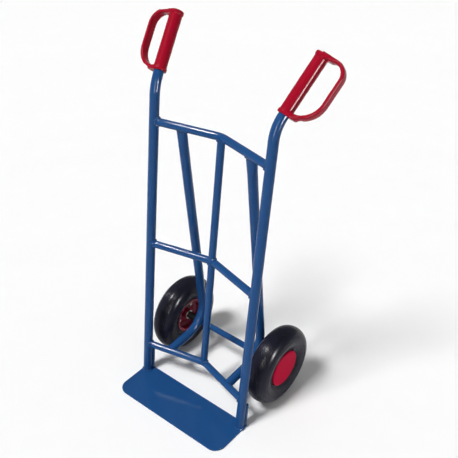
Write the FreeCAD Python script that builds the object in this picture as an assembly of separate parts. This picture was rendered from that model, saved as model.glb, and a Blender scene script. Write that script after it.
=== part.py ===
import FreeCAD, Part
import math
import os

# Hand truck: a welded tube frame that leans back on a flat toe plate, with an axle
# carried by two bent struts, two air-tyred wheels and two hand-guard grips.
# Millimetres and degrees.  +X is the truck's right, +Y its rear (wheel side), +Z up.
# The origin is on the floor, in the middle of the ground that the truck covers.

# ------------------------------------------------------------- driving dimensions
# "Up the frame" is measured along the leaning uprights from the toe plate's top.
lean_angle = 6.06             # uprights lean back from the vertical
upright_spacing = 389.0       # between the two upright centre lines
upright_diameter = 28.0
upright_wall = 2.0
handle_bend_height = 973.7    # corner of the handle bend, up the frame
handle_bend_radius = 104.0
handle_tilt = 35.4            # handles lean back from the uprights
handle_flare = 9.9            # handles spread outwards
handle_length = 197.0         # tube beyond the bend's corner

crossbar_diameter = 22.0
crossbar_wall = 2.0
top_crossbar_height = 872.6   # up the frame
middle_crossbar_height = 489.0
bottom_crossbar_height = 108.1
crossbar_sag = 53.6           # how far back the middle of each crossbar is
crossbar_bend_radius = 50.0
crossbar_setback = -1.1       # ends of the crossbars from the upright centre lines

strut_spacing = 236.0         # between the two strut centre lines
strut_diameter = 28.0
strut_wall = 2.0
strut_bend_radius = 84.0
strut_corner_back = 19.0      # corner of the strut's bend behind the axle
strut_corner_drop = 5.3       # and below it
strut_top_setback = 4.9       # strut behind the top crossbar
strut_flat_width = 39.0       # squashed upper end
strut_flat_depth = 17.0
strut_flat_length = 60.0

plate_margin = 0.5            # toe plate beyond the uprights' outer sides
plate_depth = 145.4
plate_thickness = 5.0
plate_corner_radius = 36.0
plate_edge_round = 1.2
tab_width = 24.0              # tabs folded up behind the uprights
tab_height = 86.0
tab_corner_radius = 4.0
tab_gap = 1.2                 # between a tab and its upright, bridged by the weld

axle_diameter = 20.0
wheel_track = 386.0           # between the two wheel centre planes

tyre_diameter = 260.0
tyre_setback = 56.6           # front of the tyres behind the feet of the uprights
tyre_width = 75.0
crown_radius = 45.0
crown_half_angle = 33.0
tyre_wall = 6.0
groove_count = 9
groove_spacing = 5.0
groove_width = 1.6
groove_depth = 1.5
tube_wall = 2.0

rim_seat_radius = 51.4        # the tyre's beads sit here
rim_flange_radius = 60.0
rim_width = 56.0              # over the two flanges
rim_gauge = 2.0
rim_well_depth = 8.8          # from the bead seat down to the dished disc
rim_bend_radius = 4.0
bolt_circle_radius = 34.5
bolt_count = 4
bolt_start_angle = 33.0
bolt_diameter = 6.0
bolt_head_across_flats = 10.0
bolt_head_height = 4.0
bolt_length = 12.0
nut_height = 5.0

hub_bore_diameter = 28.0
hub_wall = 3.0
hub_length = 40.0
cage_length = 36.0
cage_wall = 3.2
roller_count = 8
roller_length = 30.0

cover_thickness = 3.0
cover_dome = 1.5
cover_lip_depth = 9.0
cover_lip_wall = 2.0

spacer_diameter = 24.0
washer_diameter = 30.0
washer_thickness = 2.0
split_pin_diameter = 3.2
split_pin_eye_radius = 4.0
split_pin_tail = 5.0
axle_tip = 1.2                # axle beyond its split pin

valve_angle = 78.0
valve_stem_diameter = 8.0
valve_base_diameter = 14.0
valve_base_length = 10.0      # trimmed where it meets the inner tube
valve_length = 22.0           # beyond the rim's well
valve_slope = 32.0            # stem leans inboard from the radial line
valve_cap_diameter = 9.6
valve_cap_length = 9.0

grip_diameter = 35.2
grip_start = 36.0             # grip's lower end beyond the handle bend's corner
grip_end_wall = 5.0
grip_collar_diameter = 39.0
grip_collar_length = 10.0
grip_web_reach = 36.0         # collars taper into the guard this far from the grip's axis
grip_round = 1.5
guard_reach = 75.2            # guard's centre line out from the grip's axis
guard_thickness = 10.0
guard_width = 26.0
guard_rise = 4.0              # guard's top above the end of the sleeve
guard_top_corner_drop = 2.5
guard_bottom = 46.5           # guard's lower root beyond the handle bend's corner
guard_bottom_corner_drop = 6.3
guard_top_bend_radius = 35.0
guard_bottom_bend_radius = 57.0
guard_turn = 5.7              # guard turned about the grip's axis
guard_edge_round = 4.2

# ------------------------------------------------------------- clearances
slip_fit = 0.15               # sleeve on a tube, stem in a hole
running_gap = 0.2             # rollers to their races
cage_gap = 0.35
side_gap = 0.3                # end play between the parts on the axle
bead_gap = 0.2                # tyre to the rim
weld_gap = 0.02               # centre bars' coped ends to the crossbars
tube_gap = 0.4                # inner tube to the tyre

# ------------------------------------------------------------- places that follow
upright_x = upright_spacing / 2
upright_radius = upright_diameter / 2
crossbar_radius = crossbar_diameter / 2
strut_x = strut_spacing / 2
strut_radius = strut_diameter / 2
axle_radius = axle_diameter / 2
axle_height = tyre_diameter / 2
axle_setback = tyre_setback + tyre_diameter / 2
wheel_x = wheel_track / 2
lean = math.radians(lean_angle)
plate_rear = (upright_radius + tab_gap + plate_thickness) * math.cos(lean)
plate_front = plate_rear - plate_depth
plate_width = upright_spacing + upright_diameter + 2 * plate_margin
plate_heel_radius = 0.8 * plate_thickness
origin_y = (plate_front + axle_setback + tyre_diameter / 2) / 2
hub_bore_radius = hub_bore_diameter / 2
hub_radius = hub_bore_radius + hub_wall
roller_diameter = hub_bore_radius - axle_radius - 2 * running_gap
rim_half_width = rim_width / 2


def vec(x, y, z):
    return FreeCAD.Vector(x, y, z)


X_AXIS = vec(1, 0, 0)
Z_AXIS = vec(0, 0, 1)
ORIGIN = vec(0, 0, 0)


# ------------------------------------------------------------- frame coordinates
def lean_back(shape):
    """Take a shape from frame coordinates (z up the uprights) to the floor's."""
    leaned = shape.copy()
    leaned.rotate(ORIGIN, X_AXIS, -lean_angle)
    leaned.translate(vec(0, -origin_y, plate_thickness))
    return leaned


def axle_in_frame():
    """Axle centre (y, z) in frame coordinates."""
    height = axle_height - plate_thickness
    back = axle_setback * math.cos(lean) - height * math.sin(lean)
    up = axle_setback * math.sin(lean) + height * math.cos(lean)
    return back, up


def crossbar_back(x):
    """How far behind the upright centre lines a crossbar's straight part is at x."""
    return crossbar_setback + crossbar_sag * (1 - abs(x) / upright_x)


def handle_direction():
    """Unit vector along the right handle, in frame coordinates."""
    tilt = math.radians(handle_tilt)
    flare = math.radians(handle_flare)
    return vec(math.sin(flare), math.cos(flare) * math.sin(tilt), math.cos(flare) * math.cos(tilt))


# ------------------------------------------------------------- general shapes
def bent_path(points, radii):
    """Wire of straight runs joined by tangent arcs, one radius for each inner point."""
    edges = []
    start = points[0]
    for before, corner, after, radius in zip(points, points[1:], points[2:], radii):
        to_before = (before - corner).normalize()
        to_after = (after - corner).normalize()
        half = to_before.getAngle(to_after) / 2
        reach = radius / math.tan(half)
        middle = (to_before + to_after).normalize()
        first = corner + to_before * reach
        last = corner + to_after * reach
        top = corner + middle * (radius / math.sin(half) - radius)
        edges.append(Part.LineSegment(start, first).toShape())
        edges.append(Part.Arc(first, top, last).toShape())
        start = last
    edges.append(Part.LineSegment(start, points[-1]).toShape())
    return Part.Wire(edges)


def rod(points, radii, radius):
    """Solid round bar along a bent path."""
    path = bent_path(points, radii)
    direction = points[1] - points[0]
    ring = Part.Wire(Part.makeCircle(radius, points[0], direction))
    return path.makePipeShell([ring], True, False)


def tube(points, radii, radius, wall):
    return rod(points, radii, radius).cut(rod(points, radii, radius - wall))


def bar_between(start, end, radius):
    axis = end - start
    return Part.makeCylinder(radius, axis.Length, start, axis)


def ring_between(start, end, radius, bore_radius):
    return bar_between(start, end, radius).cut(bar_between(start, end, bore_radius))


def lathe(face):
    """Turn a face drawn in the (x along, y out) half plane about the X axis."""
    return face.revolve(ORIGIN, X_AXIS, 360)


def profile(points):
    """Face inside straight lines through (x, radius) points."""
    corners = [vec(x, radius, 0) for x, radius in points]
    return Part.Face(Part.makePolygon(corners + corners[:1]))


def arc_about(centre, radius, first_angle, last_angle):
    """Arc edge in the (x, radius) half plane, angles from the X axis."""
    marks = []
    for angle in (first_angle, (first_angle + last_angle) / 2, last_angle):
        turn = math.radians(angle)
        marks.append(centre + vec(radius * math.cos(turn), radius * math.sin(turn), 0))
    return Part.Arc(*marks).toShape()


def hexagon(x_start, height, across_flats):
    """Hexagonal prism along X with its centre on the X axis."""
    corner_radius = across_flats / math.sqrt(3)
    corners = []
    for index in range(7):
        turn = math.radians(60 * index)
        corners.append(vec(x_start, corner_radius * math.cos(turn), corner_radius * math.sin(turn)))
    return Part.Face(Part.makePolygon(corners)).extrude(vec(height, 0, 0))


def mirrored(shape):
    return shape.mirror(ORIGIN, X_AXIS)


# ------------------------------------------------------------- tube frame
def upright_points():
    """Centre line of the right upright: foot, corner of the bend, upper end."""
    foot = vec(upright_x, 0, -plate_thickness)
    corner = vec(upright_x, 0, handle_bend_height)
    return [foot, corner, corner + handle_direction() * handle_length]


def below_floor_of_frame():
    """Block that trims the feet flush with the toe plate's top."""
    size = 4 * upright_diameter
    corner = vec(upright_x - size / 2, -size / 2 - origin_y, plate_thickness - size)
    return Part.makeBox(size, size, size, corner)


def make_upright():
    leaned = lean_back(tube(upright_points(), [handle_bend_radius], upright_radius, upright_wall))
    return leaned.cut(below_floor_of_frame())


def straight_uprights():
    """Both uprights as solid bars, for coping the crossbars' ends."""
    bars = []
    for x in (-upright_x, upright_x):
        bars.append(bar_between(vec(x, 0, 0), vec(x, 0, handle_bend_height), upright_radius))
    return bars[0].fuse(bars[1])


def crossbar_points(height):
    end_back = crossbar_setback
    left = vec(-upright_x, end_back, height)
    middle = vec(0, end_back + crossbar_sag, height)
    right = vec(upright_x, end_back, height)
    return [left, middle, right]


def crossbar_rod(height, gap=0):
    return rod(crossbar_points(height), [crossbar_bend_radius], crossbar_radius + gap)


def make_crossbar(height):
    bar = tube(crossbar_points(height), [crossbar_bend_radius], crossbar_radius, crossbar_wall)
    return lean_back(bar.cut(straight_uprights()))


def centre_bar_back():
    """The bent crossbar's centre line at x = 0."""
    half_turn = math.atan2(crossbar_sag, upright_x)
    return crossbar_setback + crossbar_sag - crossbar_bend_radius * (1 / math.cos(half_turn) - 1)


def make_centre_bar(lower_height, upper_height):
    back = centre_bar_back()
    start = vec(0, back, lower_height)
    end = vec(0, back, upper_height)
    bar = ring_between(start, end, crossbar_radius, crossbar_radius - crossbar_wall)
    coped = bar.cut(crossbar_rod(lower_height, weld_gap)).cut(crossbar_rod(upper_height, weld_gap))
    return lean_back(coped)


def strut_points():
    """Centre line of the right strut: top, start of the round tube, bend, lower end."""
    axle_back, axle_up = axle_in_frame()
    top = vec(strut_x, crossbar_back(strut_x) + strut_top_setback, top_crossbar_height)
    corner = vec(strut_x, axle_back + strut_corner_back, axle_up - strut_corner_drop)
    end = vec(strut_x, crossbar_back(strut_x), bottom_crossbar_height)
    round_start = top + (corner - top).normalize() * strut_flat_length
    return top, round_start, corner, end


def strut_bar(inset):
    """Solid strut, smaller all round by inset, with its upper end squashed to an oval."""
    top, round_start, corner, end = strut_points()
    down = (corner - top).normalize()
    oval = Part.Ellipse(ORIGIN, strut_flat_width / 2 - inset, strut_flat_depth / 2 - inset)
    oval_wire = Part.Wire(oval.toShape())
    oval_wire.Placement = FreeCAD.Placement(top, FreeCAD.Rotation(X_AXIS, down.cross(X_AXIS), down, "XYZ"))
    circle = Part.Circle(ORIGIN, Z_AXIS, strut_radius - inset)
    round_wire = Part.Wire(circle.toShape())
    round_wire.Placement = FreeCAD.Placement(round_start, oval_wire.Placement.Rotation)
    squashed = Part.makeLoft([oval_wire, round_wire], True)
    return squashed.fuse(rod([round_start, corner, end], [strut_bend_radius], strut_radius - inset))


def axle_bar():
    back, up = axle_in_frame()
    return bar_between(vec(0, back, up), vec(wheel_x, back, up), axle_radius)


def make_strut():
    strut = strut_bar(0).cut(strut_bar(strut_wall))
    for cutter in (crossbar_rod(top_crossbar_height), crossbar_rod(bottom_crossbar_height), axle_bar()):
        strut = strut.cut(cutter)
    return lean_back(strut)


# ------------------------------------------------------------- toe plate
def make_tab():
    """Tab behind the right upright, in frame coordinates, rooted in the plate."""
    root = plate_thickness / 2
    low = vec(upright_x - tab_width / 2, upright_radius + tab_gap, -root)
    tab = Part.makeBox(tab_width, plate_thickness, tab_height + root, low)
    top_corners = [
        edge for edge in tab.Edges
        if edge.BoundBox.ZMin > tab_height - 1 and edge.BoundBox.YLength > plate_thickness / 2
    ]
    return tab.makeFillet(tab_corner_radius, top_corners)


def make_toe_plate():
    flat = Part.makeBox(plate_width, plate_depth, plate_thickness, vec(-plate_width / 2, plate_front, 0))
    front_corners = [
        edge for edge in flat.Edges
        if edge.BoundBox.ZLength > plate_thickness / 2 and edge.BoundBox.YMax < plate_front + 1
    ]
    flat = flat.makeFillet(plate_corner_radius, front_corners)
    heel = [
        edge for edge in flat.Edges
        if edge.BoundBox.ZMax < plate_thickness / 2 and edge.BoundBox.YMin > plate_rear - 1
    ]
    flat = flat.makeFillet(plate_heel_radius, heel)
    rims = [
        edge for edge in flat.Edges
        if edge.BoundBox.ZLength < plate_thickness / 2 and edge.BoundBox.YMin < plate_rear - plate_thickness
    ]
    flat = flat.makeFillet(plate_edge_round, rims)
    flat.translate(vec(0, -origin_y, 0))
    for tab in (make_tab(), mirrored(make_tab())):
        flat = flat.fuse(lean_back(tab))
    return flat.removeSplitter()


# ------------------------------------------------------------- grips
def grip_placement():
    """Right grip: local z along the handle, local x towards the guard."""
    along = handle_direction()
    outward = (X_AXIS - along * X_AXIS.dot(along)).normalize()
    turned = FreeCAD.Rotation(along, guard_turn).multVec(outward)
    corner = upright_points()[1]
    return FreeCAD.Placement(corner, FreeCAD.Rotation(turned, along.cross(turned), along, "XYZ"))


def guard_band():
    """Flat band with rounded edges, bent from the sleeve's top to its lower end."""
    top_centre = handle_length + grip_end_wall + guard_rise - guard_thickness / 2
    path = bent_path(
        [
            vec(0, 0, top_centre),
            vec(guard_reach, 0, top_centre - guard_top_corner_drop),
            vec(guard_reach, 0, guard_bottom - guard_bottom_corner_drop),
            vec(0, 0, guard_bottom),
        ],
        [guard_top_bend_radius, guard_bottom_bend_radius],
    )
    half_width = guard_width / 2
    half_thickness = guard_thickness / 2
    corners = [
        vec(0, side * half_width, top_centre + level * half_thickness)
        for side, level in ((-1, -1), (1, -1), (1, 1), (-1, 1), (-1, -1))
    ]
    section = Part.makePolygon(corners)
    band = path.makePipeShell([section], True, False)
    long_edges = [edge for edge in band.Edges if edge.Length > half_width * 2 + 1]
    return band.makeFillet(guard_edge_round, long_edges)


def grip_collar(start):
    """Flat collar around the sleeve that narrows to the guard's width on one side."""
    radius = grip_collar_diameter / 2
    half_width = guard_width / 2
    distance = math.hypot(grip_web_reach, half_width)
    turn = math.atan2(half_width, grip_web_reach) + math.acos(radius / distance)
    tangent = vec(radius * math.cos(turn), radius * math.sin(turn), 0)
    below_tangent = vec(tangent.x, -tangent.y, 0)
    tip = vec(grip_web_reach, half_width, 0)
    below_tip = vec(grip_web_reach, -half_width, 0)
    round_back = Part.Arc(tangent, vec(-radius, 0, 0), below_tangent).toShape()
    lines = [(below_tangent, below_tip), (below_tip, tip), (tip, tangent)]
    edges = [round_back] + [Part.LineSegment(*ends).toShape() for ends in lines]
    collar = Part.Face(Part.Wire(edges)).extrude(Z_AXIS * grip_collar_length)
    rims = [edge for edge in collar.Edges if edge.BoundBox.ZLength < grip_round]
    collar = collar.makeFillet(grip_round, rims)
    collar.translate(Z_AXIS * start)
    return collar


def make_grip():
    """Moulded sleeve with a closed end, a collar at each end and the hand guard."""
    top = handle_length + grip_end_wall
    body = Part.makeCylinder(grip_diameter / 2, top - grip_start, vec(0, 0, grip_start))
    for collar_start in (grip_start, top - grip_collar_length):
        body = body.fuse(grip_collar(collar_start))
    body = body.fuse(guard_band())
    bore_depth = handle_length - grip_start
    bore = Part.makeCylinder(upright_radius + slip_fit, bore_depth + 1, vec(0, 0, grip_start - 1))
    grip = body.cut(bore).removeSplitter()
    grip.Placement = grip_placement()
    return lean_back(grip)


# ------------------------------------------------------------- wheel, in wheel coordinates
# The X axis is the wheel's axis, x = 0 its centre plane and +x its outer side.
def tyre_arcs(inset):
    """Arcs of the tyre's right half, from the crown to the bead, set in by inset."""
    half_width = tyre_width / 2
    outer_radius = tyre_diameter / 2
    crown = math.radians(crown_half_angle)
    crown_centre = vec(0, outer_radius - crown_radius, 0)
    shoulder_radius = (half_width - crown_radius * math.sin(crown)) / (1 - math.sin(crown))
    crown_edge = vec(math.sin(crown), math.cos(crown), 0)
    shoulder_centre = crown_centre + crown_edge * (crown_radius - shoulder_radius)
    side_span = half_width - bead_outer_x()
    side_height = shoulder_centre.y - bead_top_radius()
    side_radius = (side_span ** 2 + side_height ** 2) / (2 * side_span)
    side_centre = vec(half_width - side_radius, shoulder_centre.y, 0)
    side_angle = math.degrees(math.asin(side_height / side_radius))
    return [
        arc_about(crown_centre, crown_radius - inset, 90, 90 - crown_half_angle),
        arc_about(shoulder_centre, shoulder_radius - inset, 90 - crown_half_angle, 0),
        arc_about(side_centre, side_radius - inset, 0, -side_angle),
    ]


def bead_outer_x():
    return rim_half_width - rim_gauge - bead_gap


def bead_top_radius():
    return rim_flange_radius + bead_gap


def mirrored_section(arcs, tail):
    """Edges of the right half's arcs and straight tail, and of their mirror image."""
    last = arcs[-1].valueAt(arcs[-1].LastParameter)
    points = [last] + [vec(x, radius, 0) for x, radius in tail]
    lines = [Part.LineSegment(start, end).toShape() for start, end in zip(points, points[1:])]
    right = arcs + lines
    return right + [mirrored(edge) for edge in right]


def make_tyre():
    heel_x = bead_outer_x()
    toe_x = heel_x - 2 * tyre_wall
    sole_radius = rim_seat_radius + bead_gap
    outside = mirrored_section(tyre_arcs(0), [
        (heel_x, sole_radius + rim_bend_radius),
        (heel_x - rim_bend_radius, sole_radius),
        (toe_x, sole_radius),
        (toe_x, rim_seat_radius + tyre_wall),
    ])
    inside = mirrored_section(tyre_arcs(tyre_wall), [(toe_x, rim_seat_radius + tyre_wall)])
    tyre = lathe(Part.Face(Part.Wire(Part.sortEdges(outside + inside)[0])))
    for index in range(groove_count):
        tyre = tyre.cut(tread_groove((index - (groove_count - 1) / 2) * groove_spacing))
    return tyre


def tread_groove(centre):
    """Ring that cuts one groove around the tread."""
    crown_drop = crown_radius - math.sqrt(crown_radius ** 2 - centre ** 2)
    surface = tyre_diameter / 2 - crown_drop
    half = groove_width / 2
    return lathe(profile([
        (centre - half, surface - groove_depth),
        (centre + half, surface - groove_depth),
        (centre + half, surface + groove_depth),
        (centre - half, surface + groove_depth),
    ]))


def tube_ring(inset):
    """Solid ring that fills the tyre, smaller all round by inset."""
    arcs = tyre_arcs(tyre_wall + tube_gap + inset)
    side = arcs[-1].valueAt(arcs[-1].LastParameter)
    bottom = vec(0, rim_seat_radius + tyre_wall + inset, 0)
    lower = Part.Arc(side, bottom, vec(-side.x, side.y, 0)).toShape()
    section = Part.Wire(Part.sortEdges(arcs + [mirrored(edge) for edge in arcs] + [lower])[0])
    return lathe(Part.Face(section))


def make_inner_tube():
    return tube_ring(0).cut(tube_ring(tube_wall))


def rim_strip():
    """Section of one pressed rim half, as a strip of sheet around its centre line."""
    middle = rim_gauge / 2
    seat = rim_seat_radius - middle
    well = seat - rim_well_depth
    flange_x = rim_half_width - middle
    path = bent_path(
        [
            vec(middle, hub_radius, 0),
            vec(middle, well, 0),
            vec(middle + rim_well_depth, seat, 0),
            vec(flange_x, seat, 0),
            vec(flange_x, rim_flange_radius, 0),
        ],
        [rim_bend_radius] * 3,
    )
    sides = [path.makeOffset2D(offset, 0, False, True) for offset in (middle, -middle)]
    ends = []
    for pick in (0, -1):
        tips = [side.OrderedVertexes[pick].Point for side in sides]
        ends.append(tips)
    if ends[0][0].distanceToPoint(ends[0][1]) > 2 * rim_gauge:
        ends = [[ends[0][0], ends[1][1]], [ends[1][0], ends[0][1]]]
    caps = [Part.LineSegment(*tips).toShape() for tips in ends]
    return Part.Face(Part.Wire(Part.sortEdges(sides[0].Edges + sides[1].Edges + caps)[0]))


def around_bolt_circle(shape):
    """Copies of a shape on the X axis, moved out to each bolt's place."""
    copies = []
    for index in range(bolt_count):
        turn = math.radians(bolt_start_angle + 360 * index / bolt_count)
        copy = shape.copy()
        copy.translate(vec(0, bolt_circle_radius * math.cos(turn), bolt_circle_radius * math.sin(turn)))
        copies.append(copy)
    return copies


def make_outer_rim():
    rim = lathe(rim_strip())
    hole = bar_between(vec(-rim_gauge, 0, 0), vec(2 * rim_gauge, 0, 0), bolt_diameter / 2 + slip_fit)
    for cutter in around_bolt_circle(hole):
        rim = rim.cut(cutter)
    return rim


def make_inner_rim():
    crossing, direction = valve_line()
    reach = direction * valve_stem_diameter
    hole = bar_between(crossing - reach, crossing + reach, valve_stem_diameter / 2 + slip_fit)
    return mirrored(make_outer_rim()).cut(hole)


def make_rim_bolts():
    head = hexagon(-rim_gauge - bolt_head_height, bolt_head_height, bolt_head_across_flats)
    shank = bar_between(vec(-rim_gauge, 0, 0), vec(bolt_length - rim_gauge, 0, 0), bolt_diameter / 2)
    return Part.makeCompound(around_bolt_circle(head.fuse(shank)))


def make_rim_nuts():
    nut = hexagon(rim_gauge, nut_height, bolt_head_across_flats)
    bore = bar_between(vec(0, 0, 0), vec(bolt_length, 0, 0), bolt_diameter / 2)
    return Part.makeCompound(around_bolt_circle(nut.cut(bore)))


def make_hub():
    return ring_between(vec(-hub_length / 2, 0, 0), vec(hub_length / 2, 0, 0), hub_radius, hub_bore_radius)


def roller_bars(radius, length):
    """Bars spaced around the axle, midway between it and the hub's bore."""
    pitch_radius = (axle_radius + hub_bore_radius) / 2
    bars = []
    for index in range(roller_count):
        turn = 2 * math.pi * index / roller_count
        start = vec(-length / 2, pitch_radius * math.cos(turn), pitch_radius * math.sin(turn))
        bars.append(bar_between(start, start + vec(length, 0, 0), radius))
    return bars


def make_rollers():
    return Part.makeCompound(roller_bars(roller_diameter / 2, roller_length))


def make_roller_cage():
    cage = ring_between(
        vec(-cage_length / 2, 0, 0), vec(cage_length / 2, 0, 0),
        hub_bore_radius - cage_gap, hub_bore_radius - cage_gap - cage_wall,
    )
    for pocket in roller_bars(roller_diameter / 2 + running_gap, roller_length + 2 * side_gap):
        cage = cage.cut(pocket)
    return cage


def make_wheel_cover():
    """Domed disc over the outer rim, with a lip that snaps into the bead seat."""
    back = rim_half_width
    front = back + cover_thickness
    lip_radius = rim_seat_radius - rim_gauge - bead_gap
    edge_round = cover_thickness / 2
    dome_centre = vec(front + cover_dome, 0, 0)
    dome_middle = vec(front + 0.75 * cover_dome, rim_flange_radius / 2, 0)
    dome_edge = vec(front, rim_flange_radius - edge_round, 0)
    dome = Part.Arc(dome_centre, dome_middle, dome_edge).toShape()
    lines = [
        dome_edge,
        vec(front - edge_round, rim_flange_radius, 0),
        vec(back, rim_flange_radius, 0),
        vec(back, lip_radius, 0),
        vec(back - cover_lip_depth, lip_radius, 0),
        vec(back - cover_lip_depth, lip_radius - cover_lip_wall, 0),
        vec(back, lip_radius - cover_lip_wall, 0),
        vec(back, 0, 0),
        dome_centre,
    ]
    outline = [dome] + [Part.LineSegment(start, end).toShape() for start, end in zip(lines, lines[1:])]
    return lathe(Part.Face(Part.Wire(outline)))


# ------------------------------------------------------------- air valve
def valve_line():
    """Where the stem's axis crosses the inner rim's sloping wall, and its direction."""
    turn = math.radians(valve_angle)
    slope = math.radians(valve_slope)
    outward = vec(0, math.cos(turn), math.sin(turn))
    mid_well = rim_seat_radius - rim_gauge / 2 - rim_well_depth / 2
    crossing = outward * mid_well - X_AXIS * (rim_gauge / 2 + rim_well_depth / 2)
    return crossing, (outward * -math.cos(slope) - X_AXIS * math.sin(slope)).normalize()


def make_valve_stem():
    crossing, direction = valve_line()
    base_end = crossing - direction * 2 * rim_gauge
    base = bar_between(base_end - direction * valve_base_length, base_end, valve_base_diameter / 2)
    stem_end = crossing + direction * (valve_length - valve_cap_length / 2)
    stem = base.fuse(bar_between(base_end, stem_end, valve_stem_diameter / 2))
    return stem.cut(tube_ring(0))


def make_valve_cap():
    crossing, direction = valve_line()
    end = crossing + direction * valve_length
    start = end - direction * valve_cap_length
    cap = bar_between(start, end, valve_cap_diameter / 2)
    pocket_end = end - direction * valve_cap_length / 3
    return cap.cut(bar_between(start, pocket_end, valve_stem_diameter / 2 + slip_fit))


# ------------------------------------------------------------- parts on the axle
def hub_end(side):
    return wheel_x + side * hub_length / 2


def inner_washer_start():
    return hub_end(-1) - side_gap - washer_thickness


def outer_washer_start():
    return hub_end(1) + side_gap


def split_pin_x():
    return outer_washer_start() + washer_thickness + side_gap + split_pin_diameter / 2


def axle_end():
    return split_pin_x() + split_pin_diameter / 2 + axle_tip


def on_axle(shape):
    """Move a shape from the axle's own line to its place on the truck."""
    moved = shape.copy()
    moved.translate(vec(0, axle_setback - origin_y, axle_height))
    return moved


def make_axle():
    bar = bar_between(vec(-axle_end(), 0, 0), vec(axle_end(), 0, 0), axle_radius)
    for side in (-1, 1):
        low = vec(side * split_pin_x(), 0, -axle_diameter)
        hole_radius = split_pin_diameter / 2 + slip_fit
        bar = bar.cut(bar_between(low, low + vec(0, 0, 2 * axle_diameter), hole_radius))
    return on_axle(bar)


def make_spacer():
    start = vec(strut_x + strut_radius + side_gap, 0, 0)
    end = vec(inner_washer_start() - side_gap, 0, 0)
    return on_axle(ring_between(start, end, spacer_diameter / 2, axle_radius + slip_fit))


def make_washer(start):
    ring = ring_between(vec(start, 0, 0), vec(start + washer_thickness, 0, 0), washer_diameter / 2,
                        axle_radius + slip_fit)
    return on_axle(ring)


def make_split_pin():
    """Eye above the axle, shank through it and two tails bent apart below."""
    x = split_pin_x()
    radius = split_pin_diameter / 2
    eye_height = axle_radius + split_pin_eye_radius
    pin = bar_between(vec(x, 0, -axle_radius - 1), vec(x, 0, axle_radius + 1), radius)
    eye = Part.makeTorus(split_pin_eye_radius - radius / 2, radius, vec(x, 0, eye_height), X_AXIS)
    pin = pin.fuse(eye)
    for side in (-1, 1):
        tip = vec(x, side * split_pin_tail, -axle_radius - 1 - split_pin_tail)
        pin = pin.fuse(bar_between(vec(x, side * radius / 3, -axle_radius), tip, radius / 2))
    return on_axle(pin)


def on_wheel(shape):
    """Move a wheel piece from wheel coordinates to the right wheel's place."""
    moved = shape.copy()
    moved.translate(vec(wheel_x, axle_setback - origin_y, axle_height))
    return moved


# ------------------------------------------------------------- writing the parts
def write(name, shape):
    shape.exportStep("parts/" + name + ".step")


def write_pair(name, right_shape):
    write("right_" + name, right_shape)
    write("left_" + name, mirrored(right_shape))


os.makedirs("parts", exist_ok=True)

write_pair("upright", make_upright())
write("top_crossbar", make_crossbar(top_crossbar_height))
write("middle_crossbar", make_crossbar(middle_crossbar_height))
write("bottom_crossbar", make_crossbar(bottom_crossbar_height))
write("upper_centre_bar", make_centre_bar(middle_crossbar_height, top_crossbar_height))
write("lower_centre_bar", make_centre_bar(bottom_crossbar_height, middle_crossbar_height))
write_pair("strut", make_strut())
write("toe_plate", make_toe_plate())
write_pair("grip", make_grip())

write("axle", make_axle())
write_pair("spacer", make_spacer())
write_pair("inner_washer", make_washer(inner_washer_start()))
write_pair("outer_washer", make_washer(outer_washer_start()))
write_pair("split_pin", make_split_pin())

wheel_pieces = {
    "tyre": make_tyre(),
    "inner_tube": make_inner_tube(),
    "inner_rim": make_inner_rim(),
    "outer_rim": make_outer_rim(),
    "rim_bolts": make_rim_bolts(),
    "rim_nuts": make_rim_nuts(),
    "hub": make_hub(),
    "roller_cage": make_roller_cage(),
    "rollers": make_rollers(),
    "wheel_cover": make_wheel_cover(),
    "valve_stem": make_valve_stem(),
    "valve_cap": make_valve_cap(),
}
for name, shape in wheel_pieces.items():
    write_pair(name, on_wheel(shape))
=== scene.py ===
import math
import bpy
from mathutils import Matrix, Vector


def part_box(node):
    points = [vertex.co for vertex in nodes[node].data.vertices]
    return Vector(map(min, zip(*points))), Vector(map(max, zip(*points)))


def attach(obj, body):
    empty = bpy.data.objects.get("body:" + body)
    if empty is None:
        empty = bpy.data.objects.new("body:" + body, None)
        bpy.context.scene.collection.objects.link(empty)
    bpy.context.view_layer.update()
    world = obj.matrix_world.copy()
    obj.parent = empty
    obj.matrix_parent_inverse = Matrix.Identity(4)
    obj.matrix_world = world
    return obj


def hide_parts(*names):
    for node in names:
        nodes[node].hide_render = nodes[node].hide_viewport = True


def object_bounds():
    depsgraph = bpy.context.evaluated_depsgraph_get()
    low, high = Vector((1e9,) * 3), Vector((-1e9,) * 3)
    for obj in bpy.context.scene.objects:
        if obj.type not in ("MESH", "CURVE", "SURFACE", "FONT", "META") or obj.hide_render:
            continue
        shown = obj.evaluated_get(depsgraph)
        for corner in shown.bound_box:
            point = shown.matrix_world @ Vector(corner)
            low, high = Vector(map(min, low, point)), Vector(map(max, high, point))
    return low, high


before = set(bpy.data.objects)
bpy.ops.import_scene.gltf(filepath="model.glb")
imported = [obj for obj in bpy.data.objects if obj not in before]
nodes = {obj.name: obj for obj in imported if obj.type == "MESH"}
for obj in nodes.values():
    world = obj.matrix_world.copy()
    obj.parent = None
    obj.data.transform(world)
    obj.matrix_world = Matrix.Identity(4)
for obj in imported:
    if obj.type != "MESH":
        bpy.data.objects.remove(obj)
cad_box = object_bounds()
scene = bpy.context.scene
MM = 0.001

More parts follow.
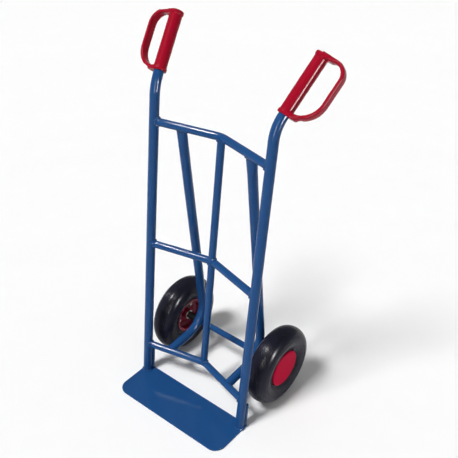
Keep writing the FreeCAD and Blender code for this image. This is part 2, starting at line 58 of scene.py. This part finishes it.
# Sizes that the frame is built to, in metres.  "Up the frame" is along the leaning uprights.
LEAN = math.radians(6.06)
UPRIGHT_RADIUS = 14 * MM
CROSSBAR_RADIUS = 11 * MM
CROSSBAR_HEIGHTS = {"top": 872.6 * MM, "middle": 489.0 * MM, "bottom": 108.1 * MM}
CROSSBAR_SETBACK = -1.1 * MM
CROSSBAR_SAG = 53.6 * MM
CROSSBAR_BEND_RADIUS = 50 * MM
STRUT_RADIUS = 14 * MM
STRUT_FLAT_HALVES = (19.5 * MM, 8.5 * MM)
STRUT_TOP_SETBACK = 4.9 * MM
STRUT_CORNER_BACK = 19 * MM
STRUT_CORNER_DROP = 5.3 * MM
AXLE_RADIUS = 10 * MM
TAB_HEIGHT = 86 * MM
TAB_FRONT = 15.2 * MM
HANDLE_BEND_HEIGHT = 973.7 * MM
HANDLE_TILT = math.radians(35.4)
HANDLE_FLARE = math.radians(9.9)

# ------------------------------------------------------------- places on the frame
upright_low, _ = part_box("right_upright")
strut_low, strut_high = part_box("right_strut")
axle_low, axle_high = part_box("axle")
tyre_low, tyre_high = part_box("right_tyre")
foot = Vector((0, upright_low.y + UPRIGHT_RADIUS / math.cos(LEAN), upright_low.z))
upright_x = upright_low.x + UPRIGHT_RADIUS
strut_x = (strut_low.x + strut_high.x) / 2
axle_centre = (axle_low + axle_high) / 2
wheel_x = (tyre_low.x + tyre_high.x) / 2
to_world = Matrix.Translation(foot) @ Matrix.Rotation(-LEAN, 4, "X")
sides = {"left": -1, "right": 1}


def on_frame(x, back, up):
    """World point at x, so far behind the uprights' centre lines and so far up the frame."""
    return to_world @ Vector((x, back, up))


def crossbar_back(x):
    """How far a crossbar's straight part is behind the uprights' centre lines at x."""
    return CROSSBAR_SETBACK + CROSSBAR_SAG * (1 - abs(x) / upright_x)


# ------------------------------------------------------------- modelling by hand
JOIN_DISTANCE = 0.002 * MM


def deselect():
    """Leaves edit mode and lets go of everything."""
    if bpy.context.object and bpy.context.object.mode == "EDIT":
        bpy.ops.object.mode_set(mode="OBJECT")
    bpy.ops.object.select_all(action="DESELECT")


def pick(piece):
    """Makes a piece the only one that is selected, and the active one."""
    deselect()
    piece.select_set(True)
    bpy.context.view_layer.objects.active = piece


def edit(piece, select="SELECT"):
    """Opens a piece in edit mode with all of it, or nothing, selected."""
    pick(piece)
    bpy.ops.object.mode_set(mode="EDIT")
    bpy.ops.mesh.select_all(action=select)


def finish_edit():
    bpy.ops.object.mode_set(mode="OBJECT")


def select_points(piece, wanted):
    """Opens a piece in edit mode with only the points selected that wanted(point) is true for."""
    edit(piece, "DESELECT")
    finish_edit()
    for vertex in piece.data.vertices:
        vertex.select = wanted(vertex.co)
    pick(piece)
    bpy.ops.object.mode_set(mode="EDIT")


def delete_points(piece, unwanted):
    """Removes the points that unwanted(point) is true for."""
    select_points(piece, unwanted)
    bpy.ops.mesh.delete(type="VERT")
    finish_edit()


def modify(piece, kind, **settings):
    """Adds a modifier and applies it."""
    pick(piece)
    modifier = piece.modifiers.new("step", kind)
    for name, value in settings.items():
        setattr(modifier, name, value)
    bpy.ops.object.modifier_apply(modifier="step")


def settle(piece, name, body, slot, replaced=()):
    """Puts a finished piece's place in its mesh, names it and lets it ride on its body."""
    pick(piece)
    bpy.ops.object.transform_apply(location=True, rotation=True, scale=True)
    piece.name = name
    piece.data.name = name
    piece.data.materials.clear()
    piece.data.materials.append(finishes[slot])
    if replaced:
        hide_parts(*replaced)
    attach(piece, body)
    return piece


def copy_of(node):
    """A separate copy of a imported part, without its marks and with its loose triangles joined up."""
    deselect()
    made = nodes[node].copy()
    made.data = nodes[node].data.copy()
    made.parent = None
    for key in list(made.keys()):
        del made[key]
    scene.collection.objects.link(made)
    pick(made)
    bpy.ops.mesh.customdata_custom_splitnormals_clear()
    edit(made)
    bpy.ops.mesh.remove_doubles(threshold=JOIN_DISTANCE)
    finish_edit()
    return made


# ------------------------------------------------------------- materials
def linear(hex_colour):
    """Linear colour of an sRGB hex value."""
    parts = [int(hex_colour[i:i + 2], 16) / 255 for i in (1, 3, 5)]
    return tuple(c / 12.92 if c <= 0.04045 else ((c + 0.055) / 1.055) ** 2.4 for c in parts) + (1.0,)


def add(material, kind, inputs=(), **settings):
    """Adds a node with its settings.

    Each input takes a value, an output of another node, or another node for its result.
    """
    tree = material.node_tree
    made = tree.nodes.new(kind)
    for name, value in settings.items():
        setattr(made, name, value)
    for socket, value in dict(inputs).items():
        if isinstance(value, bpy.types.Node):
            value = next(output for output in value.outputs if output.enabled)
        if isinstance(value, bpy.types.NodeSocket):
            tree.links.new(value, made.inputs[socket])
        else:
            made.inputs[socket].default_value = value
    return made


def new_finish(name):
    """An empty material and the place on the piece, in metres, that its patterns are read at."""
    material = bpy.data.materials.new(name)
    material.use_nodes = True
    material.node_tree.nodes.clear()
    coordinates = add(material, "ShaderNodeTexCoord")
    return material, coordinates.outputs["Object"]


def surface(material, colours, patches, roughness, gloss_patches, height, depth, values):
    """Closes a material: two colours and two roughnesses, each mixed by its patches, and a bump.

    The bump is height, from 0 to 1, times depth in metres; values go straight to the shader's inputs.
    """
    colour = add(material, "ShaderNodeMix", {0: patches, 6: linear(colours[0]), 7: linear(colours[1])},
                 data_type="RGBA")
    gloss = add(material, "ShaderNodeMapRange",
                {"Value": gloss_patches, "From Min": 0.3, "From Max": 0.7,
                 "To Min": roughness[0], "To Max": roughness[1]})
    bump = add(material, "ShaderNodeBump", {"Height": height, "Distance": depth})
    shader = add(material, "ShaderNodeBsdfPrincipled",
                 {**values, "Base Color": colour, "Roughness": gloss, "Normal": bump})
    add(material, "ShaderNodeOutputMaterial", {"Surface": shader})
    return material


def powder_coated_steel():
    """Polyester powder baked on steel tube.

    An even, deep blue, glossy enough to mirror the lamps, with a faint orange peel that
    frays the edges of the reflections.  The peel is drawn at 2.4 mm, coarser than the real 1 mm.
    """
    material, place = new_finish("powder_coated_steel")
    shades = add(material, "ShaderNodeTexNoise", {"Vector": place, "Scale": 1 / (60 * MM)})
    flow = add(material, "ShaderNodeTexNoise", {"Vector": place, "Scale": 1 / (9 * MM)})
    peel = add(material, "ShaderNodeTexNoise", {"Vector": place, "Scale": 1 / (2.4 * MM), "Detail": 1.0})
    return surface(material, ("#1B467A", "#204C80"), shades, (0.07, 0.11), flow, peel, 0.01 * MM,
                   {"IOR": 1.5, "Specular IOR Level": 0.15})


def moulded_soft_pvc():
    """Plasticised PVC moulded as one sleeve with its guard.

    A strong red with a wet gloss, and slow waves where the skin followed the mould.
    """
    material, place = new_finish("moulded_soft_pvc")
    shades = add(material, "ShaderNodeTexNoise", {"Vector": place, "Scale": 1 / (25 * MM)})
    wetness = add(material, "ShaderNodeTexNoise", {"Vector": place, "Scale": 1 / (7 * MM)})
    waves = add(material, "ShaderNodeTexNoise", {"Vector": place, "Scale": 1 / (8 * MM), "Detail": 0.0})
    return surface(material, ("#980822", "#A00B28"), shades, (0.16, 0.22), wetness, waves, 0.04 * MM,
                   {"IOR": 1.53, "Specular IOR Level": 0.07})


def moulded_tyre_rubber():
    """Carbon-filled rubber from a turned steel mould.

    Near black and a little blue; the mould's tool rings catch the light around the tyre.
    They are drawn every 2.4 mm, coarser than the real 0.5 mm, over a fine moulding grain.
    """
    material, place = new_finish("moulded_tyre_rubber")
    from_axle = add(material, "ShaderNodeVectorMath", {0: place, 1: (0, axle_centre.y, axle_centre.z)},
                    operation="SUBTRACT")
    across = add(material, "ShaderNodeVectorMath", {0: from_axle, 1: (0, 1, 1)}, operation="MULTIPLY")
    radius = add(material, "ShaderNodeVectorMath", {0: across}, operation="LENGTH")
    turns = add(material, "ShaderNodeMath", {0: radius, 1: 2 * math.pi / (2.4 * MM)}, operation="MULTIPLY")
    rings = add(material, "ShaderNodeMath", {0: turns}, operation="SINE")
    grain = add(material, "ShaderNodeTexNoise", {"Vector": place, "Scale": 1 / (1.5 * MM), "Detail": 4.0})
    relief = add(material, "ShaderNodeMix", {0: 0.2, 2: rings, 3: grain})
    dust = add(material, "ShaderNodeTexNoise", {"Vector": place, "Scale": 1 / (25 * MM), "Detail": 2.0})
    wear = add(material, "ShaderNodeTexNoise", {"Vector": place, "Scale": 1 / (5 * MM), "Detail": 4.0})
    return surface(material, ("#1E1E2C", "#242432"), dust, (0.22, 0.28), wear, relief, 0.012 * MM,
                   {"IOR": 1.52, "Specular IOR Level": 0.1})


def extruded_butyl_rubber():
    """Butyl for the inner tubes and valves: dull, with a dusting of talc."""
    material, place = new_finish("extruded_butyl_rubber")
    talc = add(material, "ShaderNodeTexNoise", {"Vector": place, "Scale": 1 / (8 * MM), "Detail": 5.0})
    grain = add(material, "ShaderNodeTexNoise", {"Vector": place, "Scale": 1 / (1 * MM), "Detail": 4.0})
    return surface(material, ("#0B0B0D", "#1A1A1D"), talc, (0.55, 0.7), grain, grain, 0.05 * MM,
                   {"IOR": 1.5})


def enamelled_pressed_steel():
    """Stoving enamel sprayed on pressed rims.

    Dark crimson and glossy; the wet coat flowed over the presswork before it was baked.
    """
    material, place = new_finish("enamelled_pressed_steel")
    shades = add(material, "ShaderNodeTexNoise", {"Vector": place, "Scale": 1 / (35 * MM)})
    flow = add(material, "ShaderNodeTexNoise", {"Vector": place, "Scale": 1 / (10 * MM)})
    peel = add(material, "ShaderNodeTexNoise", {"Vector": place, "Scale": 1 / (3 * MM), "Detail": 1.0})
    return surface(material, ("#7E102E", "#861434"), shades, (0.2, 0.28), flow, peel, 0.03 * MM,
                   {"IOR": 1.52, "Specular IOR Level": 0.3})


def moulded_polypropylene():
    """Injection-moulded cover discs.

    Flat crimson, kept matt by the mould's spark-eroded grain of about 0.4 mm.
    """
    material, place = new_finish("moulded_polypropylene")
    shades = add(material, "ShaderNodeTexNoise", {"Vector": place, "Scale": 1 / (30 * MM)})
    rub = add(material, "ShaderNodeTexNoise", {"Vector": place, "Scale": 1 / (8 * MM)})
    grain = add(material, "ShaderNodeTexNoise", {"Vector": place, "Scale": 1 / (0.4 * MM), "Detail": 3.0})
    return surface(material, ("#C30636", "#CA083C"), shades, (0.36, 0.44), rub, grain, 0.02 * MM,
                   {"IOR": 1.49, "Specular IOR Level": 0.02})


def zinc_plated_steel():
    """Bright zinc on turned and stamped steel: light grey metal with a cloudy, yellowish passivate."""
    material, place = new_finish("zinc_plated_steel")
    cloud = add(material, "ShaderNodeTexNoise", {"Vector": place, "Scale": 1 / (6 * MM), "Detail": 4.0})
    spangle = add(material, "ShaderNodeTexVoronoi", {"Vector": place, "Scale": 1 / (1.5 * MM)})
    return surface(material, ("#BFC1C4", "#D2D0C2"), cloud, (0.22, 0.38), spangle, cloud, 0.01 * MM,
                   {"Metallic": 1.0})


def ground_bearing_steel():
    """Hardened rollers ground round: nearly mirrors, with a little oil left on them.

    The grinding lines run around each roller, so they repeat along its length, every 0.5 mm.
    """
    material, place = new_finish("ground_bearing_steel")
    along = add(material, "ShaderNodeVectorMath", {0: place, 1: (1, 0.02, 0.02)}, operation="MULTIPLY")
    lines = add(material, "ShaderNodeTexNoise", {"Vector": along, "Scale": 1 / (0.5 * MM)})
    oil = add(material, "ShaderNodeTexNoise", {"Vector": place, "Scale": 1 / (4 * MM)})
    return surface(material, ("#94969A", "#A6A6A4"), oil, (0.1, 0.22), oil, lines, 0.002 * MM,
                   {"Metallic": 1.0})


def moulded_glass_filled_nylon():
    """Glass-filled nylon: black, slightly mottled by the fibres near its skin."""
    material, place = new_finish("moulded_glass_filled_nylon")
    fibres = add(material, "ShaderNodeTexNoise", {"Vector": place, "Scale": 1 / (1.5 * MM), "Detail": 5.0})
    grain = add(material, "ShaderNodeTexNoise", {"Vector": place, "Scale": 1 / (0.7 * MM), "Detail": 4.0})
    return surface(material, ("#0C0C0E", "#161619"), fibres, (0.38, 0.52), grain, grain, 0.02 * MM,
                   {"IOR": 1.53})


def white_studio_paper():
    """Matt white paper, with a faint mottle of its fibres."""
    material, place = new_finish("white_studio_paper")
    mottle = add(material, "ShaderNodeTexNoise", {"Vector": place, "Scale": 1 / (80 * MM)})
    fibres = add(material, "ShaderNodeTexNoise", {"Vector": place, "Scale": 1 / (2 * MM)})
    return surface(material, ("#F5F5F5", "#F7F7F7"), mottle, (0.88, 0.92), fibres, fibres, 0.01 * MM,
                   {"Specular IOR Level": 0.0})


finishes = {
    "frame_paint": powder_coated_steel(),
    "grip_plastic": moulded_soft_pvc(),
    "tyre_rubber": moulded_tyre_rubber(),
    "tube_rubber": extruded_butyl_rubber(),
    "rim_paint": enamelled_pressed_steel(),
    "cover_plastic": moulded_polypropylene(),
    "zinc_steel": zinc_plated_steel(),
    "roller_steel": ground_bearing_steel(),
    "black_plastic": moulded_glass_filled_nylon(),
}
for node in nodes.values():
    for slot in node.material_slots:
        slot.material = finishes[slot.material.name.split(".")[0]]

# ------------------------------------------------------------- weld beads
BEAD_RADIUS = 4.0 * MM
BEAD_POINTS = 120
BEAD_STEP = 1.0 * MM
BEAD_RESOLUTION = 2
RIPPLE = (1.0, 1.07, 1.0, 0.93)
# Where a bar is as wide as the part it meets, or wider, its ring is cast smaller, so that more of
# it lands.  A point that moved less than NOT_LANDED missed the part.
NEAR_FULL = 0.95
NOT_LANDED = 0.1 * MM
# Where the rings are cast from.
CROSSBAR_START = 0.86                   # of the way from the middle to the upright
STRUT_TOP_START = 0.05                  # of the way from the strut's top to its corner
STRUT_FOOT_START = 0.4                  # of the way from its lower end to its corner
AXLE_START = 1.8 * STRUT_RADIUS         # beside the strut's middle
FOOT_START = 40 * MM                    # up the frame
# The seams between tabs and uprights: beside and behind the upright's middle, and up the frame.
TAB_SEAM_OUT = 9.5 * MM
TAB_SEAM_BACK = TAB_FRONT - 2 * MM
TAB_SEAM_ENDS = (3 * MM, TAB_HEIGHT - 5 * MM)


def bead_along(line):
    """Turns a line of edges into a rippled round bead."""
    pick(line)
    bpy.ops.object.convert(target="CURVE")
    curve = line.data
    curve.bevel_depth = BEAD_RADIUS
    curve.bevel_resolution = BEAD_RESOLUTION
    curve.use_fill_caps = True
    for spline in curve.splines:
        for index, point in enumerate(spline.points):
            point.radius = RIPPLE[index % len(RIPPLE)]
    bpy.ops.object.convert(target="MESH")
    modify(line, "SMOOTH", factor=0.4, iterations=1)
    pick(line)
    bpy.ops.object.shade_smooth()
    return line


def ring_weld(name, start, way, halves, onto):
    """Bead around the end of a bar, of half widths halves, that runs from start along way on to a part.

    A ring is cast along way, and its points that miss the part are left out.
    """
    deselect()
    turn = way.normalized().to_track_quat("Z", "Y").to_euler()
    bpy.ops.mesh.primitive_circle_add(vertices=BEAD_POINTS, radius=1, location=start, rotation=turn)
    ring = bpy.context.object
    ring.scale = (halves[0], halves[1], 1)
    bpy.ops.object.transform_apply(location=False, rotation=False, scale=True)
    modify(ring, "SHRINKWRAP", target=nodes[onto], wrap_method="PROJECT", use_project_z=True,
           use_negative_direction=False, use_positive_direction=True)
    delete_points(ring, lambda point: abs(point.z) < NOT_LANDED)
    if not ring.data.vertices:
        raise ValueError(f"{name} doesn't reach {onto}")
    return settle(bead_along(ring), name, "frame", "frame_paint")


def straight_weld(name, start, end):
    """Bead along a straight seam."""
    deselect()
    bpy.ops.mesh.primitive_plane_add(size=1 * MM, location=start)
    seam = bpy.context.object
    edit(seam)
    bpy.ops.mesh.merge(type="CENTER")
    bpy.ops.mesh.extrude_region_move(TRANSFORM_OT_translate={"value": end - start})
    bpy.ops.mesh.select_all(action="SELECT")
    bpy.ops.mesh.subdivide(number_cuts=round((end - start).length / BEAD_STEP))
    finish_edit()
    return settle(bead_along(seam), name, "frame", "frame_paint")


# Crossbars on the uprights, and the centre bars between the crossbars.
for side, sign in sides.items():
    for level, height in CROSSBAR_HEIGHTS.items():
        start_x = sign * CROSSBAR_START * upright_x
        start = on_frame(start_x, crossbar_back(start_x), height)
        way = on_frame(sign * upright_x, CROSSBAR_SETBACK, height) - start
        ring_weld(f"{side}_{level}_crossbar_weld", start, way, (CROSSBAR_RADIUS, CROSSBAR_RADIUS),
                  f"{side}_upright")

# The crossbars' bend is round, so its middle lies in front of the corner of its straight parts.
half_turn = math.atan2(CROSSBAR_SAG, upright_x)
centre_back = CROSSBAR_SETBACK + CROSSBAR_SAG - CROSSBAR_BEND_RADIUS * (1 / math.cos(half_turn) - 1)
bar_halves = (NEAR_FULL * CROSSBAR_RADIUS, NEAR_FULL * CROSSBAR_RADIUS)
flat_halves = tuple(NEAR_FULL * half for half in STRUT_FLAT_HALVES)
for bar, lower, upper in (("upper", "middle", "top"), ("lower", "bottom", "middle")):
    low = on_frame(0, centre_back, CROSSBAR_HEIGHTS[lower])
    high = on_frame(0, centre_back, CROSSBAR_HEIGHTS[upper])
    middle = (low + high) / 2
    ring_weld(f"{bar}_centre_bar_top_weld", middle, high - middle, bar_halves, f"{upper}_crossbar")
    ring_weld(f"{bar}_centre_bar_foot_weld", middle, low - middle, bar_halves, f"{lower}_crossbar")

# Struts on the top and bottom crossbars and on the axle.
axle_in_frame = to_world.inverted() @ axle_centre
corner_back = axle_in_frame.y + STRUT_CORNER_BACK
corner_up = axle_in_frame.z - STRUT_CORNER_DROP
for side, sign in sides.items():
    x = sign * strut_x
    top = on_frame(x, crossbar_back(x) + STRUT_TOP_SETBACK, CROSSBAR_HEIGHTS["top"])
    corner = on_frame(x, corner_back, corner_up)
    end = on_frame(x, crossbar_back(x), CROSSBAR_HEIGHTS["bottom"])
    below_top = top + STRUT_TOP_START * (corner - top)
    ring_weld(f"{side}_strut_top_weld", below_top, top - below_top, flat_halves, "top_crossbar")
    near_end = end + STRUT_FOOT_START * (corner - end)
    ring_weld(f"{side}_strut_foot_weld", near_end, end - near_end, bar_halves, "bottom_crossbar")
    for edge, step in (("outer", 1), ("inner", -1)):
        beside = axle_centre + Vector((x + sign * step * AXLE_START, 0, 0))
        ring_weld(f"{side}_axle_{edge}_weld", beside, Vector((-sign * step, 0, 0)),
                  (AXLE_RADIUS, AXLE_RADIUS), f"{side}_strut")

# Uprights on the toe plate, and the plate's tabs on the uprights.
for side, sign in sides.items():
    start = on_frame(sign * upright_x, 0, FOOT_START)
    ring_weld(f"{side}_upright_foot_weld", start, on_frame(sign * upright_x, 0, 0) - start,
              (UPRIGHT_RADIUS, UPRIGHT_RADIUS), "toe_plate")
    for edge, step in (("outer", 1), ("inner", -1)):
        x = sign * (upright_x + step * TAB_SEAM_OUT)
        low, high = (on_frame(x, TAB_SEAM_BACK, up) for up in TAB_SEAM_ENDS)
        straight_weld(f"{side}_tab_{edge}_weld", low, high)

# ------------------------------------------------------------- grips
# The sleeve, its collars and the guard are moulded in one, so their joins are melted together,
# most of all where the collars run out into the guard.
VOXEL = 1.1 * MM
EVEN_ROUNDS = 14                        # of smoothing, which takes the voxels' steps away
COLLAR_MIDDLES = (41 * MM, 196 * MM)    # along the handle from its bend
COLLAR_REACH = 36 * MM                  # from the handle's centre line to the run-out
MELT_RADIUS = 19 * MM
MELT_ROUNDS = 100
for side, sign in sides.items():
    grip = copy_of(f"{side}_grip")
    modify(grip, "REMESH", mode="VOXEL", voxel_size=VOXEL)
    modify(grip, "SMOOTH", factor=0.5, iterations=EVEN_ROUNDS)
    handle = Vector((sign * math.sin(HANDLE_FLARE), math.cos(HANDLE_FLARE) * math.sin(HANDLE_TILT),
                     math.cos(HANDLE_FLARE) * math.cos(HANDLE_TILT)))
    outward = Vector((sign, 0, 0))
    outward = (outward - outward.dot(handle) * handle).normalized()
    for along in COLLAR_MIDDLES:
        corner = Vector((sign * upright_x, 0, HANDLE_BEND_HEIGHT))
        run_out = to_world @ (corner + along * handle + COLLAR_REACH * outward)
        select_points(grip, lambda point: (point - run_out).length < MELT_RADIUS)
        bpy.ops.mesh.vertices_smooth(factor=0.5, repeat=MELT_ROUNDS)
        finish_edit()
    pick(grip)
    bpy.ops.object.shade_smooth()
    settle(grip, f"{side}_moulded_grip", "frame", "grip_plastic", [f"{side}_grip"])

# ------------------------------------------------------------- tyres
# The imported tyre's section, spun again with rounded grooves, and raised rings on its walls.
TYRE_STEPS = 144
SPIN_JOIN = 0.01 * MM
RIB_ROUND = 0.4 * MM
RIB_ANGLE = math.radians(40)            # an edge as sharp as this gets rounded
SMOOTH_ANGLE = math.radians(50)
WALL_BAND = 2 * MM
# Radius of each ring around the axle, and half its thickness.
RAISED_RINGS = ((70 * MM, 0.8 * MM), (74 * MM, 0.7 * MM), (98 * MM, 0.9 * MM))


def wall_reach(tyre, middle, radius):
    """How far from its middle plane the tyre's outside is, at a radius."""
    reach = 0
    for vertex in tyre.data.vertices:
        spoke = vertex.co - middle
        if abs(math.hypot(spoke.y, spoke.z) - radius) < WALL_BAND:
            reach = max(reach, abs(spoke.x))
    return reach


for side, sign in sides.items():
    tyre = copy_of(f"{side}_tyre")
    middle = Vector((sign * wheel_x, axle_centre.y, axle_centre.z))
    edit(tyre)
    bpy.ops.mesh.bisect(plane_co=middle, plane_no=(0, 1, 0), clear_inner=True, clear_outer=True)
    finish_edit()
    delete_points(tyre, lambda point: point.z < middle.z)
    edit(tyre)
    bpy.ops.mesh.spin(steps=TYRE_STEPS, angle=2 * math.pi, center=middle, axis=(1, 0, 0))
    bpy.ops.mesh.select_all(action="SELECT")
    bpy.ops.mesh.remove_doubles(threshold=SPIN_JOIN)
    bpy.ops.mesh.normals_make_consistent(inside=False)
    finish_edit()
    modify(tyre, "BEVEL", width=RIB_ROUND, segments=2, limit_method="ANGLE", angle_limit=RIB_ANGLE)
    reaches = [wall_reach(tyre, middle, radius) for radius, _ in RAISED_RINGS]
    rings = []
    for (radius, thickness), reach in zip(RAISED_RINGS, reaches):
        for way in (-1, 1):
            deselect()
            bpy.ops.mesh.primitive_torus_add(
                location=middle + Vector((way * reach, 0, 0)), rotation=(0, math.pi / 2, 0),
                major_segments=TYRE_STEPS, minor_segments=8, major_radius=radius, minor_radius=thickness)
            rings.append(bpy.context.object)
    pick(tyre)
    for ring in rings:
        ring.select_set(True)
    bpy.ops.object.join()
    bpy.ops.object.shade_smooth_by_angle(angle=SMOOTH_ANGLE)
    settle(tyre, f"{side}_ribbed_tyre", f"{side}_wheel", "tyre_rubber", [f"{side}_tyre"])

# ------------------------------------------------------------- floor, light, camera
FLOOR_SIZE = 40
WORLD_STRENGTH = 0.3
KEY_WAY = Vector((-0.14, -0.49, 0.86))      # from the truck towards the lamp
TOP_GLINT_WAY = Vector((-0.26, -0.33, 0.9))
RIGHT_GLINT_PLACE = (1.80, -0.17, 1.10)
RIGHT_GLINT_TARGET = (0.214, 0.043, 1.053)
FRONT_GLINT_PLACE = (0.57, -1.47, 1.35)
FRONT_GLINT_TARGET = (0, -0.035, 0.945)
CAMERA_PLACE = (1.10303, -1.30486, 1.78311)
AZIMUTH = math.radians(39.898)
ELEVATION = math.radians(37.815)
FOCAL_LENGTH = 58.5
SENSOR_WIDTH = 36
SHIFT = (0.0334, 0.0903)

deselect()
bpy.ops.mesh.primitive_plane_add(size=FLOOR_SIZE)
floor = bpy.context.object
floor.name = "floor"
floor.data.materials.append(white_studio_paper())

world = bpy.data.worlds.new("studio")
scene.world = world
world.use_nodes = True
world.node_tree.nodes["Background"].inputs["Color"].default_value = (1, 1, 1, 1)
world.node_tree.nodes["Background"].inputs["Strength"].default_value = WORLD_STRENGTH


def lamp(name, kind, place, target, **settings):
    """A light at a place, turned to its target."""
    light = bpy.data.lights.new(name, kind)
    for key, value in settings.items():
        setattr(light, key, value)
    made = bpy.data.objects.new(name, light)
    scene.collection.objects.link(made)
    made.location = place
    made.rotation_euler = (Vector(target) - Vector(place)).to_track_quat("-Z", "Y").to_euler()
    return made


# The key lights every surface evenly; the three small lamps only mirror in glossy ones, as
# streaks on the crossbars, on the right sleeve and on the bends and tyres.
centre = (cad_box[0] + cad_box[1]) / 2
key = lamp("key_softbox", "SUN", centre + KEY_WAY, centre, energy=2.8, angle=math.radians(13))
key.visible_glossy = False
glints = (
    lamp("top_glint", "SUN", centre + TOP_GLINT_WAY, centre, energy=4.2, angle=math.radians(6)),
    lamp("right_glint", "AREA", RIGHT_GLINT_PLACE, RIGHT_GLINT_TARGET,
         shape="RECTANGLE", size=0.2, size_y=0.8, energy=90),
    lamp("front_glint", "AREA", FRONT_GLINT_PLACE, FRONT_GLINT_TARGET,
         shape="RECTANGLE", size=0.14, size_y=1.0, energy=30),
)
for glint in glints:
    glint.visible_diffuse = False

camera_data = bpy.data.cameras.new("camera")
camera_data.lens = FOCAL_LENGTH
camera_data.sensor_width = SENSOR_WIDTH
camera_data.shift_x, camera_data.shift_y = SHIFT
camera = bpy.data.objects.new("camera", camera_data)
scene.collection.objects.link(camera)
camera.location = CAMERA_PLACE
look = Vector((-math.sin(AZIMUTH) * math.cos(ELEVATION), math.cos(AZIMUTH) * math.cos(ELEVATION),
               -math.sin(ELEVATION)))
camera.rotation_euler = look.to_track_quat("-Z", "Y").to_euler()
scene.camera = camera
scene.view_settings.view_transform = "Standard"
